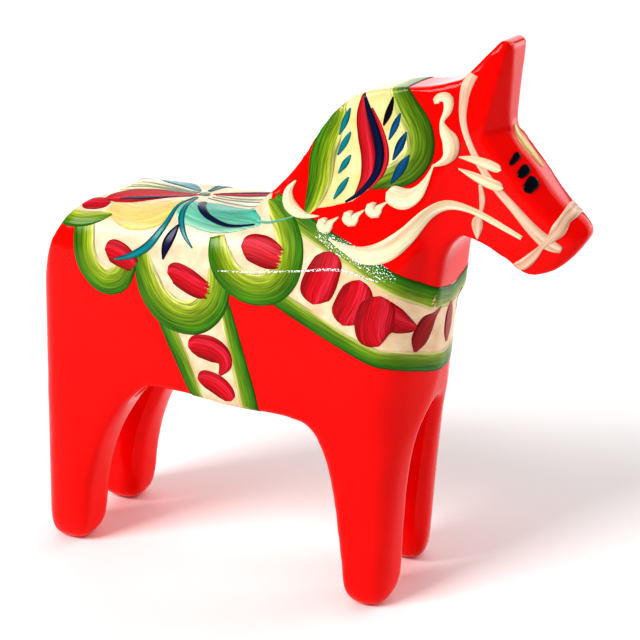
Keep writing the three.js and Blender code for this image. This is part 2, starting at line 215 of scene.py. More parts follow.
def knifePlane(piece, a, b, c, low, high, hand):
    # a flat shaving off the piece beyond the plane through a, b and c, inside a box
    a, b, c = [Vector((p[0], p[1] * hand, p[2])) for p in (a, b, c)]
    normal = (b - a).cross(c - a).normalized()
    if normal.dot(a - Vector((40, 0, 100))) < 0:
        normal.negate()
    centre = [(l + h) / 2 for l, h in zip(low, high)]
    size = [(h - l) * mm for l, h in zip(low, high)]
    bpy.ops.object.select_all(action="DESELECT")
    place = (centre[0] * mm, centre[1] * hand * mm, centre[2] * mm)
    bpy.ops.mesh.primitive_cube_add(size=1, location=place, scale=size)
    chip = bpy.context.object
    bpy.ops.object.transform_apply(location=True, rotation=True, scale=True)
    bpy.ops.object.mode_set(mode="EDIT")
    bpy.ops.mesh.select_all(action="SELECT")
    bpy.ops.mesh.bisect(plane_co=a * mm, plane_no=normal, use_fill=True, clear_inner=True)
    bpy.ops.mesh.select_all(action="SELECT")
    bpy.ops.mesh.normals_make_consistent(inside=False)
    bpy.ops.object.mode_set(mode="OBJECT")
    trim(piece, chip, "DIFFERENCE")


def carveHorse():
    half = carving["halfWidth"]
    horse = sawBoard("trunk", sideOutline, -half, half, "side")
    head = sawBoard("head", sideOutline, -half, half, "side")
    section = sawBoard("trunkSection", bothHalves(trunkSection, 0), -90, 90, "front")
    trim(horse, section, "INTERSECT")
    legTop = carving["legTop"]
    plan = sawBoard("trunkPlan", bothHalves(trunkPlan, 1), legTop - 0.5, carving["trunkTop"], "plan")
    trim(plan, sawBoard("legPlan", bothHalves(legPlan, 1), -2, legTop, "plan"), "UNION")
    for vertex in plan.data.vertices:
        if vertex.co.x > 0:
            # the chest leans forward as it rises
            vertex.co.x *= 1 + carving["chestLean"] * (vertex.co.z - 0.05)
        elif vertex.co.x < -0.04:
            # and so does the rump
            vertex.co.x *= 1 - carving["rumpLean"] * vertex.co.z
    trim(horse, plan, "INTERSECT")
    section = sawBoard("neckSection", bothHalves(neckSection, 0), -90, 90, "front")
    trim(head, section, "INTERSECT")
    plan = sawBoard("headPlan", bothHalves(headPlan, 1), 72, 134, "plan")
    trim(head, plan, "INTERSECT")
    trim(horse, head, "UNION")

    slotHalf = carving["legGap"] / 2
    top = carving["archTop"]
    slotOutline = bothHalves([
        (slotHalf + 3.2, -1.4), (slotHalf + 0.8, 2), (slotHalf, 8), (slotHalf, top - 10),
        (slotHalf * 0.86, top - 4.6), (slotHalf * 0.5, top - 1.2), (0, top),
    ], 0)
    for low, high in (carving["frontSlot"], carving["rearSlot"]):
        slot = sawBoard("legSlot", slotOutline, low, high, "front")
        trim(horse, slot, "DIFFERENCE")
    for hand in (1, -1):
        # the bevel in front of the ear, then the bevel beside the face
        knifePlane(
            horse, (47.6, 6.0, 129.4), (47.6, 3.6, 113.6), (43.6, 9.1, 110.6),
            (40, -1, 110.8), (60, 24, 140), hand,
        )
        knifePlane(
            horse, (48.2, 4.4, 111.2), (65.3, 3.2, 91.0), (45.8, 9.1, 108.4),
            (44, -1, 79), (78, 23, 111.4), hand,
        )
    report("sawn and whittled")
    return horse


def sandHorse(horse):
    # sanding: an even skin, whose corners are rounded more on the trunk than on the head
    applyModifier(horse, "REMESH", mode="VOXEL", voxel_size=carving["grain"] * mm)
    legs = horse.vertex_groups.new(name="legs")
    soft = horse.vertex_groups.new(name="soft")
    chest = horse.vertex_groups.new(name="chest")
    join = horse.vertex_groups.new(name="join")
    for vertex in horse.data.vertices:
        z = vertex.co.z / mm
        legs.add([vertex.index], min(1.0, max(0.0, (48 - z) / 16)), "REPLACE")
        chest.add([vertex.index], 1.0 if vertex.co.x > 18 * mm and 66 < z < 102 else 0.0, "REPLACE")
        nearJoin = max(0.0, 1 - abs(z - carving["legTop"]) / 7)
        join.add([vertex.index], nearJoin if vertex.co.x > 20 * mm else 0.0, "REPLACE")
        soft.add([vertex.index], 1 - 0.85 * min(1.0, max(0.0, (z - 84) / 10)), "REPLACE")
    applyModifier(horse, "SMOOTH", factor=0.5, iterations=carving["legSanding"], vertex_group="legs")
    applyModifier(horse, "SMOOTH", factor=0.5, iterations=carving["sanding"], vertex_group="soft")
    applyModifier(horse, "SMOOTH", factor=0.5, iterations=carving["chestSanding"], vertex_group="chest")
    applyModifier(horse, "SMOOTH", factor=0.5, iterations=carving["joinSanding"], vertex_group="join")
    applyModifier(horse, "SMOOTH", factor=0.5, iterations=carving["fineSanding"])
    for group in list(horse.vertex_groups):
        horse.vertex_groups.remove(group)
    selectOnly(horse)
    bpy.ops.object.mode_set(mode="EDIT")
    bpy.ops.mesh.select_all(action="SELECT")
    bpy.ops.mesh.bisect(
        plane_co=(0, 0, 0), plane_no=(0, 0, 1), use_fill=True, clear_inner=True, threshold=1e-6,
    )
    bpy.ops.object.mode_set(mode="OBJECT")
    bpy.ops.object.shade_smooth()
    horse.name = "painted_horse"
    horse.data.name = "painted_horse"
    report(f"sanded: {len(horse.data.polygons)} faces")
    return horse


horse = sandHorse(carveHorse())
skin = BVHTree.FromObject(horse, bpy.context.evaluated_depsgraph_get())


# gloss red oil enamel over pine: the horse is dipped, so it is even, with dust nibs and soft waves
def redEnamel():
    m = newMaterial("gloss_red_enamel")
    out = addNode(m, "ShaderNodeOutputMaterial")
    place = addNode(m, "ShaderNodeTexCoord").outputs["Object"]
    wave = addNode(m, "ShaderNodeTexNoise", {"Scale": 90, "Detail": 2}, {"Vector": place})
    nibs = addNode(m, "ShaderNodeTexVoronoi", {"Scale": 420}, {"Vector": place})
    nibHeight = addNode(
        m, "ShaderNodeMapRange", {1: 0.0, 2: 0.16, 3: 1.0, 4: 0.0}, {0: nibs.outputs["Distance"]},
    )
    tone = addNode(m, "ShaderNodeTexNoise", {"Scale": 38, "Detail": 4}, {"Vector": place})
    ramp = addNode(m, "ShaderNodeValToRGB", links={"Fac": tone.outputs["Fac"]})
    ramp.color_ramp.elements[0].position = 0.35
    ramp.color_ramp.elements[0].color = hexColour("E80600")
    ramp.color_ramp.elements[1].position = 0.72
    ramp.color_ramp.elements[1].color = hexColour("F60C02")
    waves = addNode(
        m, "ShaderNodeBump", {"Strength": 0.12, "Distance": 0.4 * mm}, {"Height": wave.outputs["Fac"]},
    )
    dust = addNode(
        m, "ShaderNodeBump", {"Strength": 0.25, "Distance": 0.08 * mm},
        {"Height": nibHeight.outputs[0], "Normal": waves.outputs["Normal"]},
    )
    enamel = addNode(
        m, "ShaderNodeBsdfPrincipled",
        {"Roughness": 0.12, "IOR": 1.45, "Specular IOR Level": 0.25},
        {"Base Color": ramp.outputs["Color"], "Normal": dust.outputs["Normal"]},
    )
    m.node_tree.links.new(enamel.outputs[0], out.inputs[0])
    return m


# The painting. Each stroke is a thin film that follows the wood: a path in mm with the width of the
# brush at each place, seen from the side (x, z, width), from above (x, y, width), or in the round
# (x, y, z, width). Only the right side is drawn, and the left is its mirror.

film = {
    "thickness": 0.3,   # mm, of which the part above the wood is the stroke's lift
    "ground": 0.25,     # the same for the coats under the strokes
    "seam": 0.9,        # mm within which the edge of a coat is drawn to its outline
    "step": 0.55,       # mm between the rows of a stroke
    "bristles": 0.8,    # mm between its columns
    "groove": 1.15,     # mm between the grooves that the flat brush leaves
    "fineGroove": 0.6,  # mm between those of the softer brush used for the petals
    "hair": 0.4,        # groove widths between the fine lines in them
}


def onSkin(place, view):
    # the place on the wood that a path names, in metres
    if view == "side":
        return skin.ray_cast(Vector((place[0], -60, place[1])) * mm, Vector((0, 1, 0)))[0]
    if view == "plan":
        return skin.ray_cast(Vector((place[0], place[1], 150)) * mm, Vector((0, 0, -1)))[0]
    return skin.find_nearest(Vector(place[:3]) * mm)[0]


def smoothPath(stops, step):
    # even steps along a smooth line through stops of place and width
    last = len(stops) - 1
    fine = []
    for i in range(last):
        a, b, c, d = (stops[min(max(j, 0), last)] for j in range(i - 1, i + 3))
        for t in np.linspace(0, 1, 12, endpoint=False):
            fine.append(b + 0.5 * t * (c - a + t * (2 * a - 5 * b + 4 * c - d + t * (3 * b - a - 3 * c + d))))
    fine = np.array(fine + [stops[-1]])
    walked = np.concatenate(([0], np.cumsum(np.linalg.norm(np.diff(fine[:, :3], axis=0), axis=1))))
    count = max(4, round(walked[-1] / step))
    even = np.linspace(0, walked[-1], count + 1)
    return even, np.stack([np.interp(even, walked, fine[:, i]) for i in range(4)], axis=1)


def bothWays(path):
    # a path in the round that crosses the middle of the horse, from its right half
    return path + [(x, -y, z, w) for x, y, z, w in reversed(path) if y != 0]


def roundedWidth(width, walked, length, ends):
    # the width near an end that is round over so many mm
    for gone, reach in ((walked, ends[0]), (length - walked, ends[1])):
        if gone < reach:
            width *= math.sqrt(max(0.0, 1 - (1 - gone / reach) ** 2))
    return max(width, 0.08)


def brushStroke(name, path, view="side", lift=0.12, crown=0.0, ends=(0, 0), flip=False, seed=0):
    # one film of paint; its UV maps are the share of the stroke and the mm of the bristles
    stops = np.array([[*(onSkin(p, view) / mm), p[-1]] for p in path])
    walked, line = smoothPath(stops, film["step"])
    rows = len(line) - 1
    columns = max(4, round(stops[:, 3].max() / film["bristles"]))
    bpy.ops.object.select_all(action="DESELECT")
    bpy.ops.mesh.primitive_grid_add(x_subdivisions=rows, y_subdivisions=columns, size=1, location=(0, 0, 0))
    stroke = bpy.context.object
    stroke.name = stroke.data.name = name
    shares = {}
    for vertex in stroke.data.vertices:
        i = round((vertex.co.x + 0.5) * rows)
        v = (vertex.co.y + 0.5) * 2 - 1
        along = Vector(line[min(i + 1, rows)][:3] - line[max(i - 1, 0)][:3]).normalized()
        centre = Vector(line[i][:3]) * mm
        normal = skin.find_nearest(centre)[1]
        width = roundedWidth(line[i][3], walked[i], walked[-1], ends)
        across = normal.cross(along).normalized() * width / 2
        spot, up = skin.find_nearest(centre + across * v * mm)[:2]
        vertex.co = spot + up * (lift + crown * (1 - v * v) * min(1, width)) * mm
        shares[vertex.index] = (i / rows, 0.5 - v / 2 if flip else 0.5 + v / 2, walked[i], v * width / 2)
    share = stroke.data.uv_layers[0]
    share.name = "stroke"
    bristle = stroke.data.uv_layers.new(name="bristle")
    for loop in stroke.data.loops:
        u, v, far, aside = shares[loop.vertex_index]
        share.data[loop.index].uv = (u, v)
        bristle.data[loop.index].uv = (far + 41 * seed, aside + 17 * seed)
    applyModifier(stroke, "SOLIDIFY", thickness=film["thickness"] * mm, offset=-1)
    selectOnly(stroke)
    bpy.ops.object.shade_smooth()
    return stroke


def insideOutline(x, z, outline):
    inside = False
    for (x0, z0), (x1, z1) in zip(outline, outline[1:] + outline[:1]):
        if (z0 > z) != (z1 > z) and x < x0 + (x1 - x0) * (z - z0) / (z1 - z0):
            inside = not inside
    return inside


def nearestOnOutline(x, z, outline):
    spot = Vector((x, z))
    best = spot
    reach = film["seam"]
    for a, b in zip(outline, outline[1:] + outline[:1]):
        a = Vector(a)
        way = Vector(b) - a
        near = a + way * min(1, max(0, (spot - a).dot(way) / way.length_squared))
        if (near - spot).length < reach:
            best = near
            reach = (near - spot).length
    return best


def paintedGround(name, outline, lift=0.05):
    # a flat coat inside an outline seen from the side, right through to the other side
    ground = horse.copy()
    ground.data = horse.data.copy()
    bpy.context.scene.collection.objects.link(ground)
    ground.name = ground.data.name = name
    mesh = bmesh.new()
    mesh.from_mesh(ground.data)
    outside = [
        f for f in mesh.faces if not insideOutline(*(c / mm for c in f.calc_center_median().xz), outline)
    ]
    bmesh.ops.delete(mesh, geom=outside, context="FACES")
    for vertex in mesh.verts:
        if vertex.is_boundary:
            x, z = nearestOnOutline(vertex.co.x / mm, vertex.co.z / mm, outline)
            vertex.co = skin.find_nearest(Vector((x * mm, vertex.co.y, z * mm)))[0]
        vertex.co += skin.find_nearest(vertex.co)[1] * lift * mm
    mesh.to_mesh(ground.data)
    mesh.free()
    for layer in list(ground.data.uv_layers):
        ground.data.uv_layers.remove(layer)
    applyModifier(ground, "SOLIDIFY", thickness=film["ground"] * mm, offset=-1)
    return ground


def leafPath(xa, za, xb, zb, width):
    # a leaf between two places, seen from the side, widest nearer its start
    return [(xa, za, 0.3)] + [
        (xa + (xb - xa) * t, za + (zb - za) * t, width * w) for t, w in ((0.3, 0.9), (0.55, 1),
        (0.8, 0.6))
    ] + [(xb, zb, 0.3)]


def joinStrokes(name, strokes):
    bpy.ops.object.select_all(action="DESELECT")
    for stroke in strokes:
        stroke.select_set(True)
    bpy.context.view_layer.objects.active = strokes[0]
    if len(strokes) > 1:
        bpy.ops.object.join()
    strokes[0].name = strokes[0].data.name = name
    return strokes[0]


def mirrorPiece(piece, name):
    other = piece.copy()
    other.data = piece.data.copy()
    bpy.context.scene.collection.objects.link(other)
    other.name = other.data.name = name
    other.data.transform(Matrix.Scale(-1, 4, (0, 1, 0)))
    selectOnly(other)
    bpy.ops.object.mode_set(mode="EDIT")
    bpy.ops.mesh.select_all(action="SELECT")
    bpy.ops.mesh.remove_doubles(threshold=1e-6)
    bpy.ops.mesh.normals_make_consistent(inside=False)
    bpy.ops.object.mode_set(mode="OBJECT")
    return other


def oilPaint(
    name, stops, streak=0.2, contrast=0.3, dry=0.0, thin=1.0, roughness=0.24, relief=0.5, specks=0.0,
    groove=film["groove"],
):
    # brushed oil paint: colours across the stroke, dragged along it by the bristles
    m = newMaterial(name)
    out = addNode(m, "ShaderNodeOutputMaterial")
    share = addNode(m, "ShaderNodeUVMap", {"uv_map": "stroke"})
    bristle = addNode(m, "ShaderNodeUVMap", {"uv_map": "bristle"})
    comb = addNode(m, "ShaderNodeMapping", {"Scale": (0.05, 1 / groove, 1)}, {"Vector": bristle.outputs[0]})
    hairs = addNode(
        m, "ShaderNodeTexNoise", {"Scale": 1.0, "Detail": 4, "Roughness": 0.65}, {"Vector": comb.outputs[0]},
    )
    fineComb = addNode(
        m, "ShaderNodeMapping", {"Scale": (0.12, 1 / (groove * film["hair"]), 1)},
        {"Vector": bristle.outputs[0]},
    )
    fineHairs = addNode(m, "ShaderNodeTexNoise", {"Scale": 1.0, "Detail": 2}, {"Vector": fineComb.outputs[0]})
    parts = addNode(m, "ShaderNodeSeparateXYZ", links={0: share.outputs[0]})
    shifted = addNode(
        m, "ShaderNodeMath", {"operation": "MULTIPLY_ADD", 1: streak},
        {0: hairs.outputs["Fac"], 2: parts.outputs["Y"]},
    )
    middle = addNode(m, "ShaderNodeMath", {"operation": "SUBTRACT", 1: streak / 2}, {0: shifted.outputs[0]})
    ramp = addNode(m, "ShaderNodeValToRGB", links={"Fac": middle.outputs[0]})
    while len(ramp.color_ramp.elements) < len(stops):
        ramp.color_ramp.elements.new(0.5)
    for element, (place, code) in zip(ramp.color_ramp.elements, stops):
        element.position = place
        element.color = hexColour(code)
    tone = addNode(
        m, "ShaderNodeMapRange", {1: 0.3, 2: 0.7, 3: 1 - contrast, 4: 1 + contrast},
        {0: fineHairs.outputs["Fac"]},
    )
    shade = addNode(
        m, "ShaderNodeVectorMath", {"operation": "SCALE"}, {0: ramp.outputs[0], 3: tone.outputs[0]},
    )
    bump = addNode(
        m, "ShaderNodeBump", {"Strength": relief, "Distance": 0.1 * mm}, {"Height": hairs.outputs["Fac"]},
    )
    links = {"Base Color": shade.outputs[0], "Normal": bump.outputs[0]}
    if dry > 0:
        # the brush runs dry towards the end of the stroke
        spent = addNode(
            m, "ShaderNodeMapRange", {1: 1 - dry, 2: 1.0, 3: 0.1, 4: 0.62}, {0: parts.outputs["X"]},
        )
        cover = addNode(
            m, "ShaderNodeMath", {"operation": "GREATER_THAN"},
            {0: hairs.outputs["Fac"], 1: spent.outputs[0]},
        )
        links["Alpha"] = cover.outputs[0]
    elif specks > 0:
        # only specks of it are drawn, for painted highlights and painted sheen
        grains = addNode(
            m, "ShaderNodeTexNoise", {"Scale": 2.6, "Detail": 3}, {"Vector": bristle.outputs[0]},
        )
        cover = addNode(
            m, "ShaderNodeMath", {"operation": "GREATER_THAN", 1: specks}, {0: grains.outputs["Fac"]},
        )
        links["Alpha"] = cover.outputs[0]
    elif thin < 1:
        # the paint is so thin that the enamel shows between the bristles
        cover = addNode(
            m, "ShaderNodeMapRange", {1: 0.36, 2: 0.6, 3: thin, 4: 1.0}, {0: hairs.outputs["Fac"]},
        )
        links["Alpha"] = cover.outputs[0]
    paint = addNode(
        m, "ShaderNodeBsdfPrincipled",
        {"Roughness": roughness, "IOR": 1.45, "Specular IOR Level": 0.3}, links,
    )
    m.node_tree.links.new(paint.outputs[0], out.inputs[0])
    return m


def flatCoat(name, light, dark):
    # a thin even coat, mottled where it was brushed out
    m = newMaterial(name)
    out = addNode(m, "ShaderNodeOutputMaterial")
    place = addNode(m, "ShaderNodeTexCoord").outputs["Object"]
    patches = addNode(
        m, "ShaderNodeTexNoise", {"Scale": 240, "Detail": 5, "Roughness": 0.6}, {"Vector": place},
    )
    ramp = addNode(m, "ShaderNodeValToRGB", links={"Fac": patches.outputs["Fac"]})
    ramp.color_ramp.elements[0].position = 0.36
    ramp.color_ramp.elements[0].color = hexColour(dark)
    ramp.color_ramp.elements[1].position = 0.62
    ramp.color_ramp.elements[1].color = hexColour(light)
    bump = addNode(
        m, "ShaderNodeBump", {"Strength": 0.2, "Distance": 0.1 * mm}, {"Height": patches.outputs["Fac"]},
    )
    coat = addNode(
        m, "ShaderNodeBsdfPrincipled", {"Roughness": 0.24, "IOR": 1.45, "Specular IOR Level": 0.3},
        {"Base Color": ramp.outputs[0], "Normal": bump.outputs[0]},
    )
    m.node_tree.links.new(coat.outputs[0], out.inputs[0])
    return m


# green loaded on one edge of the brush and cream on the other
blendedGreen = oilPaint("green_into_cream_oil", [
    (0.0, "2C6E04"), (0.12, "437E0A"), (0.38, "688A10"), (0.6, "88A020"), (0.78, "A8B43C"),
    (0.9, "C8CA76"),
    (1.0, "E4D8A8"),
], streak=0.36, contrast=0.5, relief=1.0)
oliveGreen = oilPaint("olive_into_cream_oil", [
    (0.0, "3C5E0C"), (0.2, "4E7010"), (0.5, "68861C"), (0.74, "8CA03A"), (0.9, "C0C278"), (1.0, "E4D8A8"),
], streak=0.36, contrast=0.5, relief=1.0)
bandGreen = oilPaint("green_edge_oil", [
    (0.0, "24600A"), (0.22, "3F7E0A"), (0.55, "678C16"), (0.78, "8CA034"), (0.9, "C8C47C"),
    (1.0, "E8D8B0"),
], streak=0.3, contrast=0.36, relief=0.8)
# the same red from a full brush, and from one that runs dry
crimsonStops = [
    (0.0, "8E0010"), (0.28, "BC021A"), (0.52, "CA0622"), (0.7, "D63048"), (0.84, "BC0424"),
    (1.0, "A40016"),
]
petalBrush = {"streak": 0.8, "contrast": 0.42, "roughness": 0.45, "relief": 0.9, "groove": film["fineGroove"]}
crimson = oilPaint("crimson_oil", crimsonStops, **petalBrush)
dryCrimson = oilPaint("dry_brushed_crimson_oil", crimsonStops, dry=0.3, **petalBrush)
darkRed = oilPaint("dark_red_oil", [(0.0, "8A000C"), (0.5, "A80414"), (1.0, "960410")], streak=0.5)
navy = oilPaint("navy_oil", [(0.0, "0A0C2C"), (0.5, "0E1C4C"), (1.0, "0A0E30")], streak=0.5)
blackBlue = oilPaint("blue_black_oil", [(0.0, "05060E"), (0.5, "0A0E1C"), (1.0, "060812")], streak=0.4)
blue = oilPaint("blue_oil", [(0.0, "06325E"), (0.5, "0A6088"), (1.0, "083C68")], streak=0.8)
teal = oilPaint("teal_oil", [(0.0, "04606C"), (0.5, "0E8C90"), (1.0, "06707A")], streak=0.8)
greyTeal = oilPaint("grey_green_oil", [
    (0.0, "6E8C7C"), (0.5, "8AA692"), (1.0, "78947E"),
], streak=0.6, thin=0.6)
turquoise = oilPaint("turquoise_into_cream_oil", [
    (0.0, "4CA896"), (0.4, "60B29C"), (0.8, "7ABFA6"), (1.0, "A8CFB4"),
], streak=0.5)
cream = oilPaint("cream_oil", [
    (0.0, "EFDDB8"), (0.35, "F6E6C6"), (0.6, "EAD2AC"), (0.8, "E6C2A4"), (1.0, "F0DEBA"),
], streak=0.8, contrast=0.16, relief=0.9)
strapCream = oilPaint("thin_cream_oil", [
    (0.0, "F2D2B6"), (0.5, "F6D8BC"), (1.0, "EFC4AC")], streak=0.6, contrast=0.12, thin=0.55, relief=0.6)
yellow = oilPaint("yellow_glaze", [
    (0.0, "F6DC7C"), (0.5, "F8E28C"), (1.0, "FAEAB4"),
], contrast=0.05, thin=0.3, relief=0.2)
# a painted highlight: white specks along a thin line, standing in for the glint of light on the shoulder
# ridge
paintedGlint = oilPaint("painted_glint_line", [(0.0, "FFFFFF"), (1.0, "F0F6F4")], contrast=0.05, specks=0.5)
# painted sheen: white specks standing in for light reflected off the top edge of the breast strap
paintedSheen = oilPaint("painted_sheen_specks", [(0.0, "FFFFFF"), (1.0, "E4F0EC")], contrast=0.05, specks=0.57)
saddleCoat = flatCoat("saddle_cream_coat", "F2DCBE", "E8C8A8")
strapCoat = flatCoat("strap_cream_coat", "F2DCBC", "E8C4A0")
maneCoat = flatCoat("mane_yellow_coat", "F4E2AA", "EACF8C")


def layOnce(name, material, strokes, replaced=()):
    # strokes that make one piece, in the middle of the horse or right round it
    films = [brushStroke(f"{name}.{i}", **stroke) for i, stroke in enumerate(strokes)]
    finishPiece(joinStrokes(name, films), material, replaced)


def layTwice(name, material, strokes, inCad=True):
    # strokes that make one piece on the right side and one on the left
    films = [brushStroke(f"{name}.{i}", **stroke) for i, stroke in enumerate(strokes)]
    right = joinStrokes(name + "_right_paint", films)
    left = mirrorPiece(right, name + "_left_paint")
    finishPiece(right, material, [name + "_right"] if inCad else ())
    finishPiece(left, material, [name + "_left"] if inCad else ())


finishPiece(horse, redEnamel(), ["carved_body"])

# the cream grounds, whose edges lie under the strokes round them
saddleOutline = [
    (-55, 100), (-55, 86), (-50.5, 83), (-47.8, 78), (-46, 74), (-43, 71.6), (-39.4, 72.4), (-36.4, 75),
    (-34.2, 77.6), (-31.6, 74), (-29.2, 69.6), (-25.2, 66.2), (-19.6, 66), (-15.4, 69.4), (-13.4, 74),
    (-13.2, 78.6), (-11.8, 79), (-10, 77), (-5.6, 75), (0, 76), (3.2, 79.6), (3.6, 84.6), (1.6, 89.2),
    (-2, 93), (-2, 100),
]
girthOutline = [
    (-26.5, 64), (-23.6, 57), (-20.4, 50), (-18.4, 44), (-18.4, 40), (-6.2, 40), (-6.2, 47), (-8.4, 56),
    (-10.6, 64.5), (-12, 70), (-16, 70), (-22, 66),
]
breastOutline = [
    (1, 90.6), (10, 87.2), (16, 84.6), (23.4, 81.4), (30, 78.6), (40, 74.6), (40, 60), (30, 60.8),
    (25, 62.6), (16.6, 66.4), (7, 71), (1.6, 74), (5.4, 79), (6, 84), (3.6, 88),
]
maneOutline = [
    (13, 124), (12, 114), (9.8, 109), (8.8, 104), (8.6, 98.6), (7.4, 93), (12, 94), (17, 95.6),
    (22, 99.8), (26, 101), (29.6, 103.4), (30.8, 107), (29.8, 111.4), (27, 115.6), (24.2, 119), (23, 124),
]
for name, outline, material in (
    ("saddle_ground", saddleOutline, saddleCoat),
    ("girth_ground", girthOutline, strapCoat),
    ("breast_ground", breastOutline, strapCoat),
    ("mane_ground", maneOutline, maneCoat),
):
    finishPiece(paintedGround(name + "_paint", outline), material, [name])
report("grounds laid")

# the saddle: four scallops on each side, drawn from the back round to the front, each with a petal
layTwice("rump_scallop", blendedGreen, [dict(
    view="round", lift=0.1, seed=1, path=[
        (-51, -4, 88.4, 2.4), (-54.4, -8, 86.4, 4.2), (-55.4, -12.6, 84.4, 4.8),
        (-52.6, -15.2, 84.7, 4.6),
        (-48.8, -15.4, 85, 3.8), (-45, -15, 86, 2.4), (-42.6, -14.6, 86.6, 0.4),
    ],
)])
layTwice("rear_scallop", blendedGreen, [dict(lift=0.09, seed=2, path=[
    (-49, 85, 5), (-48.6, 82.4, 5.6), (-48.1, 78.4, 5.9), (-46.6, 74.6, 6.2), (-43.2, 71.8, 6.6),
    (-39.4, 72.6, 6.4),
    (-37, 75.6, 5), (-36, 78.6, 3.2),
])])
layTwice("middle_scallop", blendedGreen, [dict(lift=0.12, seed=3, path=[
    (-32.6, 79.6, 3.2), (-31.5, 74.6, 6), (-29.3, 69.8, 7.4), (-25.2, 66.4, 8.2), (-19.6, 66, 8.2),
    (-15.3, 69.2, 7.6), (-13.4, 74, 6.6), (-13.2, 78, 4.6), (-13.6, 81.6, 1.4),
])])
layTwice("front_scallop", blendedGreen, [dict(lift=0.15, seed=4, path=[
    (-14.4, 85, 3.4), (-12.8, 81, 5.8), (-10.2, 77.2, 6.8), (-5.6, 75, 7.6), (-0.2, 75.8, 7.8),
    (3.3, 79.6, 7.4), (3.7, 84.6, 6.6), (1.8, 89.2, 5.8), (-0.6, 92.2, 4), (-2.6, 94, 0.6),
])])
layTwice("rump_petal", crimson, [dict(
    view="round", lift=0.14, seed=5, ends=(1.6, 1.6), path=[
        (-51.8, -12.6, 87.2, 3.4), (-50.2, -12.2, 87.6, 4), (-47.6, -12, 87.8, 4),
        (-44.6, -11.6, 88, 2.6),
    ],
)])
layTwice("rear_petal", dryCrimson, [dict(lift=0.16, seed=6, ends=(2.4, 0.8), path=[
    (-42.6, 79.2, 4.2), (-40.8, 79.2, 5.4), (-38, 78.2, 5.6), (-35.6, 76.8, 4.4), (-34.4, 75.8, 3),
])])
layTwice("middle_petal", dryCrimson, [dict(lift=0.18, seed=7, ends=(2.4, 0.8), path=[
    (-26, 75.8, 4), (-24.2, 76, 5), (-21.4, 74.9, 5.8), (-18.2, 73.4, 5.4), (-15, 72.6, 3.6),
])])
layTwice("front_petal", dryCrimson, [dict(lift=0.18, seed=8, ends=(2.6, 0.8), path=[
    (-8, 83.6, 5), (-6.2, 83.8, 6), (-3.4, 83.4, 6.8), (-0.4, 82.6, 6.4), (2.6, 82, 4),
])])
report("saddle edged")

# the flower on the back
layTwice("saddle_glaze", yellow, [
    dict(view="plan", lift=0.07, seed=9, path=[
        (-44, -12.6, 3), (-38, -13.8, 8.4), (-32, -12.8, 8.6), (-27.4, -7.6, 3.4),
    ]),
    dict(view="plan", lift=0.07, seed=10, path=[(-47, -3.4, 3), (-40, -2, 4), (-31, -0.8, 1.6)]),
], inCad=False)
layOnce("flower_red_rear_paint", crimson, [dict(view="plan", lift=0.15, seed=11, path=[
    (-27, -0.8, 0.6), (-31, -3, 4), (-36, -5.2, 7.4), (-41, -7.4, 8), (-44.6, -9.4, 5),
    (-46.6, -10.6, 0.6),
])], ["flower_red_rear"])
layOnce("flower_red_front_paint", crimson, [dict(view="plan", lift=0.15, seed=12, path=[
    (-24.6, 1.4, 0.6), (-20.4, 4.2, 3), (-15.6, 6.6, 4.4), (-11, 8.2, 3.4), (-7.6, 9, 0.6),
])], ["flower_red_front"])
layOnce("flower_turquoise_front_paint", turquoise, [
    dict(view="round", lift=0.13, seed=13, flip=True, ends=(2.4, 0), path=[
        (-26, -7.4, 89.2, 6), (-22.8, -9.8, 88.6, 11), (-18.2, -11, 88.2, 12), (-13, -11.6, 88, 10),
        (-8, -11.8, 88.2, 6), (-4.4, -12.2, 88.4, 2),
    ]),
    dict(view="round", lift=0.17, seed=14, path=[
        (-6, -12, 88.2, 0.7), (-1, -13.6, 89.2, 0.5), (4, -14.4, 91.2, 0.3),
    ]),
], ["flower_turquoise_front"])
layOnce("flower_turquoise_rear_paint", teal, [dict(view="plan", lift=0.13, seed=15, path=[
    (-28.4, 2, 0.6), (-32, 4.6, 3.2), (-36.4, 7, 4.8), (-41, 9.4, 4), (-44.8, 11.4, 0.6),
])], ["flower_turquoise_rear"])
layOnce("flower_shadow", navy, [
    dict(view="plan", lift=0.2, seed=16, path=[
        (-28, -2.6, 0.4), (-33, -6.2, 1.1), (-38, -8.5, 1.6), (-43, -10, 0.5),
    ]),
    dict(view="plan", lift=0.2, seed=17, path=[
        (-23.4, 2.6, 0.4), (-18.4, 6.4, 1.2), (-14, 8, 1.2), (-9, 8.8, 0.4),
    ]),
    dict(view="round", lift=0.2, seed=18, ends=(1, 0), path=[
        (-23.2, -5.4, 89.2, 1.5), (-22, -9, 88.9, 1.9), (-18.6, -12.2, 87.9, 1.4), (-12.6, -14, 87, 0.9),
        (-6.4, -13, 87.6, 0.4),
    ]),
])
layTwice("flower_stalk", teal, [
    dict(view="round", lift=0.24, seed=19, path=[
        (-26.8, -3, 89.5, 0.4), (-27.5, -10.3, 88.7, 0.8), (-28, -14.7, 85.8, 1.2),
        (-31.1, -17.2, 81.3, 1.9),
        (-35.4, -18, 78.6, 1.5), (-40, -18.2, 77.2, 0.4),
    ]),
    dict(view="round", lift=0.24, seed=20, path=[
        (-26.3, -3, 89.5, 0.3), (-25.9, -7, 89.3, 0.7), (-24.9, -12.9, 87.2, 1.4),
        (-22.7, -15.8, 84.3, 1),
        (-20, -17, 81.8, 0.3),
    ]),
], inCad=False)
layTwice("flower_bud", navy, [dict(view="round", lift=0.22, seed=21, path=[
    (-24.7, -14.6, 85.9, 0.3), (-25.6, -15.8, 84, 2), (-26.6, -16.9, 81.6, 2.2),
    (-27.2, -17.8, 78.6, 0.3),
])], inCad=False)
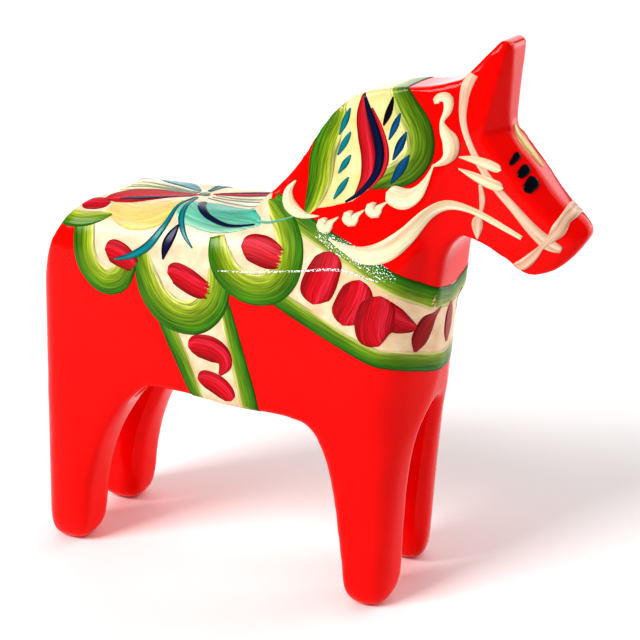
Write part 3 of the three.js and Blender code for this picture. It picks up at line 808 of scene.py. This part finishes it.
layTwice("flower_stamens", greyTeal, [
    dict(view="plan", lift=0.12, seed=22, path=[(-24, -2.2, 0.5), (-16, -4, 1), (-7, -7.4, 0.3)]),
    dict(view="plan", lift=0.12, seed=23, path=[(-23.6, -0.9, 0.5), (-15, -1, 1.1), (-5, -2.2, 0.3)]),
    dict(view="plan", lift=0.12, seed=24, path=[(-28, -0.9, 0.5), (-36, -1.9, 1.1), (-46, -4.6, 0.3)]),
    dict(view="plan", lift=0.12, seed=25, path=[(-28.2, -0.4, 0.5), (-37, -0.4, 1), (-47, -1, 0.3)]),
], inCad=False)
layOnce("flower_knot", greyTeal, [dict(view="plan", lift=0.26, crown=0.1, seed=26, ends=(1, 1), path=[
    (-27.6, 0.2, 2), (-26.2, 0.2, 2.6), (-24.8, 0.2, 2),
])])
report("flower painted")

# the girth, right round under the belly
layOnce("girth_edge_rear_paint", bandGreen, [dict(view="round", lift=0.08, seed=27, path=bothWays([
    (-27.6, -18.6, 66, 3.8), (-25.4, -18.6, 60.6, 4), (-22.9, -18.6, 55.4, 4), (-20.4, -18.6, 49.6, 3.6),
    (-18.9, -17.4, 45.6, 3.4), (-18, -12, 44.9, 3.4), (-17.6, 0, 44.8, 3.4),
]))], ["girth_edge_rear"])
layOnce("girth_edge_front_paint", bandGreen, [dict(
    view="round", lift=0.08, seed=28, flip=True, path=bothWays([
        (-12.4, -18.6, 73, 2.4), (-11.3, -18.6, 68.6, 3), (-10.2, -18.6, 64, 3.6), (-8.2, -18.6, 56, 4.2),
        (-6.4, -18.6, 49, 4.6),
        (-5.8, -17.4, 45.4, 4.6), (-5.6, -12, 44.9, 4.4), (-5.6, 0, 44.8, 4.4),
    ]),
)], ["girth_edge_front"])
layTwice("girth_upper_petal", crimson, [dict(lift=0.14, seed=29, ends=(2.6, 0), path=[
    (-21.2, 58.6, 4), (-18.8, 59.2, 5.4), (-15.4, 59, 6.2), (-12.8, 57.8, 5.4), (-11.8, 55.6, 3.4),
    (-13.2, 53, 0.7),
])])
layTwice("girth_lower_petal", crimson, [dict(lift=0.16, seed=30, ends=(2.2, 0.8), path=[
    (-19, 51.2, 3.4), (-16.8, 51.4, 4.4), (-13.8, 50.4, 5), (-11.6, 48.8, 4.4), (-10.4, 47, 2.6),
])])

# the breast strap, from the saddle round the chest
layOnce("breast_edge_top_paint", bandGreen, [dict(view="round", lift=0.12, seed=31, flip=True, path=bothWays([
    (-1.4, -12, 93.8, 3.6), (3.4, -14.2, 91, 4.8), (10, -15.2, 87.8, 4.6), (16, -16, 85.2, 4.6),
    (23, -17, 82, 4.6), (28, -15.4, 79.2, 4.8), (32, -11.4, 76.6, 5), (34.8, -6, 74.6, 5),
    (35.6, 0, 73.6, 5),
]))], ["breast_edge_top"])
layOnce("breast_edge_low_paint", bandGreen, [dict(view="round", lift=0.1, seed=32, path=bothWays([
    (-1, -18.6, 75, 4), (2.4, -18.6, 73.2, 4.2), (7, -18.6, 70.8, 4.2), (16.6, -18.6, 66.1, 4),
    (24.2, -18, 63, 4.2), (27.8, -16, 62.2, 4.4), (31.4, -11.6, 61, 4.6), (33.6, -6, 59.4, 4.6),
    (34.2, 0, 58.4, 4.6),
]))], ["breast_edge_low"])
layTwice("breast_petal_1", crimson, [dict(lift=0.15, seed=33, ends=(2.6, 2.4), path=[
    (13.6, 85, 5), (13.2, 82.6, 6.8), (12, 79, 7.8), (10.6, 75.6, 7.2), (10.2, 73.2, 4),
])])
layTwice("breast_petal_2", crimson, [dict(lift=0.17, seed=34, ends=(2.6, 2.4), path=[
    (21, 80, 5), (20.6, 77.4, 7), (19.4, 74.2, 7.8), (17.8, 71.4, 6.8), (17.2, 69.4, 3.6),
])])
layTwice("breast_petal_3", crimson, [
    dict(lift=0.19, seed=35, ends=(2.6, 2.4), path=[
        (25.6, 77, 5), (25.2, 74.4, 7.6), (24.4, 70.8, 8.8), (24.4, 67.8, 7.8), (25.4, 65.6, 4),
    ]),
    dict(view="round", lift=0.15, seed=36, path=[
        (26, -17.2, 73.4, 5.8), (28.4, -15.6, 71.2, 5.4), (30.4, -13.4, 69.6, 2.8),
        (31.4, -11.8, 69, 0.6),
    ]),
])
layTwice("breast_corner_petal", darkRed, [dict(view="round", lift=0.15, seed=37, path=[
    (34, -6.6, 73, 0.8), (33, -8.8, 70.6, 4.4), (32.2, -10.2, 68, 5.2), (31.4, -11.2, 65.6, 4.6),
    (31, -12, 63.4, 0.8),
])], inCad=False)
layOnce("breast_centre_petal", darkRed, [dict(view="round", lift=0.15, seed=38, path=[
    (35.4, -0.4, 72, 0.8), (35, -0.4, 69.6, 3.8), (34.6, -0.4, 67, 4.4), (34.2, -0.4, 64.8, 3.8),
    (33.8, -0.4, 62.4, 0.8),
])])

# painted highlights: a white glint line along the shoulder ridge, and white specks of painted sheen on the
# top edge of the breast strap, where the gloss would catch the light
layTwice("shoulder_painted_glint", paintedGlint, [dict(lift=0.27, seed=68, path=[
    (-13, 77.8, 0.3), (-4, 78.6, 0.5), (7, 80.2, 0.45), (16, 81.4, 0.6), (25.4, 80, 0.3),
])], inCad=False)
layTwice("strap_painted_sheen", paintedSheen, [dict(lift=0.24, seed=69, path=[
    (9.6, 88.4, 1.6), (14, 86.6, 3.6), (20, 84.4, 3.6), (26, 81.8, 3), (28.6, 80.4, 1),
])], inCad=False)
report("girth and breast strap painted")

# the panel over the mane
layOnce("mane_edge_rear_paint", blendedGreen, [dict(
    view="round", lift=0.12, seed=39, flip=True, path=bothWays([
        (6.4, -14, 91.6, 0.8), (7.8, -13.4, 94.6, 3.6), (8.9, -12, 99, 5.4), (9.1, -11, 103.6, 6),
        (10, -10, 108, 5.8),
        (11.4, -9, 111.6, 4.4), (12.8, -7, 114.8, 3.2), (13.2, 0, 115.6, 3),
    ]),
)], ["mane_edge_rear"])
layOnce("mane_edge_front_paint", oliveGreen, [dict(view="round", lift=0.12, seed=40, path=bothWays([
    (20.2, -12.4, 98.8, 1), (24.4, -12.2, 101.2, 4.6), (28.4, -11.4, 103.2, 6.2), (30.6, -10.4, 107, 6.8),
    (29.8, -9.2, 111.4, 6.6), (27, -8.2, 115.6, 5.6), (25, -7.2, 118.6, 4.6), (24.4, 0, 119.6, 4.4),
]))], ["mane_edge_front"])
layTwice("mane_stroke", crimson, [
    dict(lift=0.15, seed=41, path=[
        (17.4, 117.6, 0.8), (17.4, 113.6, 2.6), (18.4, 109.4, 3.4), (19.6, 105, 3.4),
        (19.6, 100.6, 2.8), (17.6, 96.8, 0.8),
    ]),
    dict(lift=0.15, seed=42, path=[
        (19.4, 115, 0.4), (21.8, 110.8, 1), (23.4, 106, 1.4), (23, 102, 1.1), (20.4, 98.4, 0.3),
    ]),
])
layTwice("mane_shadow", navy, [dict(lift=0.2, seed=43, path=[
    (17.4, 117.8, 0.4), (18.9, 114, 1.3), (20.9, 109.6, 1.9), (22.1, 105.4, 2), (21.5, 101.4, 1.6),
    (18.6, 97.6, 1),
    (15.4, 95.3, 0.4),
])], inCad=False)
layTwice("mane_rear_leaves", teal, [
    dict(lift=0.16, seed=44 + i, path=leafPath(xa, za, xb, zb, 1.35))
    for i, (xa, za, xb, zb) in enumerate((
        (14.5, 114.6, 12.5, 108.9), (15, 109.7, 12.5, 104.7), (15.5, 105, 13.1, 101),
        (15.5, 100.4, 12.6, 95.6),
    ))
], inCad=False)
layTwice("mane_front_leaves", blue, [
    dict(lift=0.16, seed=48 + i, path=leafPath(xa, za, xb, zb, w))
    for i, (xa, za, xb, zb, w) in enumerate((
        (25.9, 114.4, 23.8, 108.8, 1.4), (27.6, 110.7, 25.1, 104.8, 1.7), (28.7, 106.1, 25.2, 99.9, 2),
    ))
], inCad=False)
layTwice("mane_tip_leaf", blackBlue, [dict(lift=0.16, seed=51, path=[
    (24, 117.6, 0.3), (23.6, 115.6, 1.2), (23, 113.6, 1.3), (22.3, 111.6, 0.3),
])], inCad=False)
report("mane painted")

# commas and pearls along the neck, then the swoosh below them
layTwice("withers_comma", cream, [dict(lift=0.2, crown=0.16, seed=52, path=[
    (3.4, 98.6, 0.4), (1.9, 96.4, 1.9), (2.2, 94, 2.9), (4, 92.4, 2.7), (6.6, 91.6, 1.4),
    (9.8, 91.8, 0.3),
])])
layTwice("neck_pearls", cream, [
    dict(lift=0.2, crown=0.24, seed=53 + i, ends=(1, 0), path=[
        (x - 1.6, z + 1, 2.4), (x - 0.5, z + 0.2, 3.3), (x + 0.6, z - 0.2, 3.2),
        (x + 1.5, z + 0.8, 1.3), (x + 3, z + 2, 0.3),
    ])
    for i, (x, z) in enumerate(((11.3, 90.1), (17, 92.1), (22, 94.3)))
], inCad=False)
layTwice("neck_tear", cream, [dict(lift=0.2, crown=0.2, seed=56, ends=(1.2, 0), path=[
    (24.4, 98.2, 3.2), (26.2, 97.6, 4.4), (28.6, 97.2, 4.6), (31, 98.4, 3.2), (32.8, 101, 1.5),
    (34.3, 104.8, 0.3),
])], inCad=False)
layTwice("crest_flourish", cream, [dict(lift=0.2, crown=0.2, seed=57, ends=(0.8, 0), path=[
    (33.2, 116.8, 1.6), (34.2, 118.2, 1.8), (36, 118, 2.4), (36.2, 115.8, 1.9), (35.2, 113.4, 1.1),
    (36, 111.4, 2.4),
    (37.4, 109.4, 3.6), (37.4, 107, 3), (36.2, 105.4, 1.6), (33.8, 104.2, 0.3),
])])
layTwice("collar_stroke", cream, [dict(lift=0.2, crown=0.1, seed=58, path=[
    (12.6, 87.4, 0.4), (16.4, 86, 1.8), (21, 85, 3.8), (25.6, 86.2, 4.7), (29.6, 89.6, 4),
    (33.4, 94.2, 2.7),
    (37, 96.2, 2.2), (41.6, 95.6, 1.5), (47, 93.4, 1.4), (53, 90.4, 1),
])])

# the bridle and the eye
layTwice("cheek_strap", strapCream, [dict(lift=0.12, seed=59, path=[
    (40.8, 123.4, 2.6), (39.9, 121.2, 2.5), (39.4, 118.2, 2), (39.6, 114, 1.5), (41.2, 109.6, 1.3),
    (43.4, 105.4, 1.4), (46.6, 101.2, 1.6),
    (50.8, 96.9, 1.9), (55, 92.4, 2.4), (58.2, 89.6, 2.8), (61, 88.2, 1.4),
])])
layTwice("cheek_leaves", cream, [
    dict(lift=0.2, crown=0.16, seed=60, ends=(0, 1), path=[
        (39.2, 106.5, 0.3), (42, 106.2, 1.5), (44.8, 105.5, 2.1), (47, 104.8, 2), (48.2, 104.4, 1.4),
    ]),
    dict(lift=0.2, crown=0.16, seed=61, ends=(0, 1), path=[
        (39.2, 104.1, 0.3), (42, 102.9, 1.5), (45, 101.7, 2.2), (47.4, 101, 2.2), (48.8, 100.6, 1.5),
    ]),
], inCad=False)
layTwice("throat_strap", strapCream, [dict(lift=0.14, seed=62, path=[
    (43.8, 101, 0.7), (44.4, 98, 1.3), (44.2, 95, 0.9), (43.6, 93.2, 2.3), (43.6, 91.4, 2.1),
    (43.6, 89.2, 0.3),
])], inCad=False)
layOnce("noseband_paint", strapCream, [dict(view="round", lift=0.14, seed=63, path=bothWays([
    (51.4, -7.4, 83.6, 1.6), (53.6, -8, 84.8, 2.4), (55.6, -7.8, 86.8, 2), (57, -7.6, 88.6, 1.2),
    (58.6, -7, 90.4, 1.7), (60, -6, 92.4, 3.2), (60.8, -4.4, 94.4, 2.6), (61.6, -2.4, 95.4, 3.2),
    (61.8, 0, 95.8, 3.2),
]))], ["noseband"])
layTwice("eye", blackBlue, [
    dict(view="round", lift=0.18, crown=0.08, seed=64, ends=(0.3, 0.3), path=[
        (50.7, -5, 107.6, 1.2), (50.3, -5.7, 106.8, 1.5), (49.4, -7.6, 105.2, 0.8),
    ]),
    dict(view="round", lift=0.18, crown=0.08, seed=65, ends=(0.3, 0.3), path=[
        (52.8, -4.9, 105, 1.5), (52.2, -5.8, 104.1, 2.2), (51.3, -7.6, 102.9, 1.4),
    ]),
    dict(view="round", lift=0.18, crown=0.08, seed=66, ends=(0.3, 0.3), path=[
        (54.6, -5, 102.6, 2.2), (54, -6, 101.6, 2.8), (53.1, -8, 100.1, 2),
    ]),
])
layOnce("forehead_stroke_paint", yellow, [dict(view="round", lift=0.14, seed=67, path=[
    (48.2, -0.8, 112.4, 1.4), (49.6, -0.6, 110, 4), (51.8, -0.4, 107, 4.2), (54.2, -0.2, 103.8, 1),
])], ["forehead_stroke"])
report("bridle and eye painted")

# floor, lights and camera
studio = {
    "cameraTurn": 24.23,     # degrees round from the horse's right side towards its front
    "cameraRise": 19.28,     # degrees above level
    "cameraAway": 320.0,     # mm from the point that it looks at
    "lookAt": (3.5, 0.0, 62.7),
    "lens": 77.33,           # mm
    "sensor": 36,            # mm
    "middle": (0, 0, 0.06),  # where the lights point, in metres
    "floorTone": "FFFFFF",
    "worldStrength": 0.27,
}


def placeCamera():
    turn = math.radians(studio["cameraTurn"])
    rise = math.radians(studio["cameraRise"])
    back = Vector((math.sin(turn) * math.cos(rise), -math.cos(turn) * math.cos(rise), math.sin(rise)))
    target = Vector(studio["lookAt"]) * mm
    data = bpy.data.cameras.new("camera")
    data.lens = studio["lens"]
    data.sensor_width = studio["sensor"]
    data.clip_start = 0.01
    camera = bpy.data.objects.new("camera", data)
    bpy.context.scene.collection.objects.link(camera)
    camera.location = target + back * studio["cameraAway"] * mm
    camera.rotation_euler = back.to_track_quat("Z", "Y").to_euler()
    bpy.context.scene.camera = camera


def placeFloor():
    bpy.ops.object.select_all(action="DESELECT")
    bpy.ops.mesh.primitive_circle_add(vertices=64, radius=3, fill_type="NGON", location=(0, 0, -0.0002))
    floor = bpy.context.object
    floor.name = "floor"
    m = newMaterial("matt_paper")
    out = addNode(m, "ShaderNodeOutputMaterial")
    white = hexColour(studio["floorTone"])
    paper = addNode(m, "ShaderNodeBsdfPrincipled", {"Base Color": white, "Roughness": 0.9})
    m.node_tree.links.new(paper.outputs[0], out.inputs[0])
    floor.data.materials.append(m)


def softbox(name, place, size, power):
    # a soft light that faces the middle of the horse
    data = bpy.data.lights.new(name, "AREA")
    data.shape = "RECTANGLE"
    data.size, data.size_y = size
    data.energy = power
    lamp = bpy.data.objects.new(name, data)
    bpy.context.scene.collection.objects.link(lamp)
    lamp.location = place
    lamp.rotation_euler = (Vector(place) - Vector(studio["middle"])).to_track_quat("Z", "Y").to_euler()


def placeLights():
    softbox("key", (-0.5, -0.8, 0.8), (0.5, 0.5), 8.6)
    softbox("backdropLeft", (-0.6, 1.3, 0.5), (1.5, 1.4), 5.4)
    softbox("backdropRight", (0.9, 1.1, 0.5), (1.3, 1.4), 9.5)
    softbox("top", (0.0, 0.2, 1.2), (1.2, 1.2), 1.2)
    world = bpy.data.worlds.new("studio")
    bpy.context.scene.world = world
    world.use_nodes = True
    world.node_tree.nodes["Background"].inputs[0].default_value = (1, 1, 1, 1)
    world.node_tree.nodes["Background"].inputs[1].default_value = studio["worldStrength"]


placeCamera()
placeFloor()
placeLights()
bpy.context.scene.view_settings.view_transform = "Standard"
bpy.context.scene.view_settings.look = "High Contrast"
report("studio set")
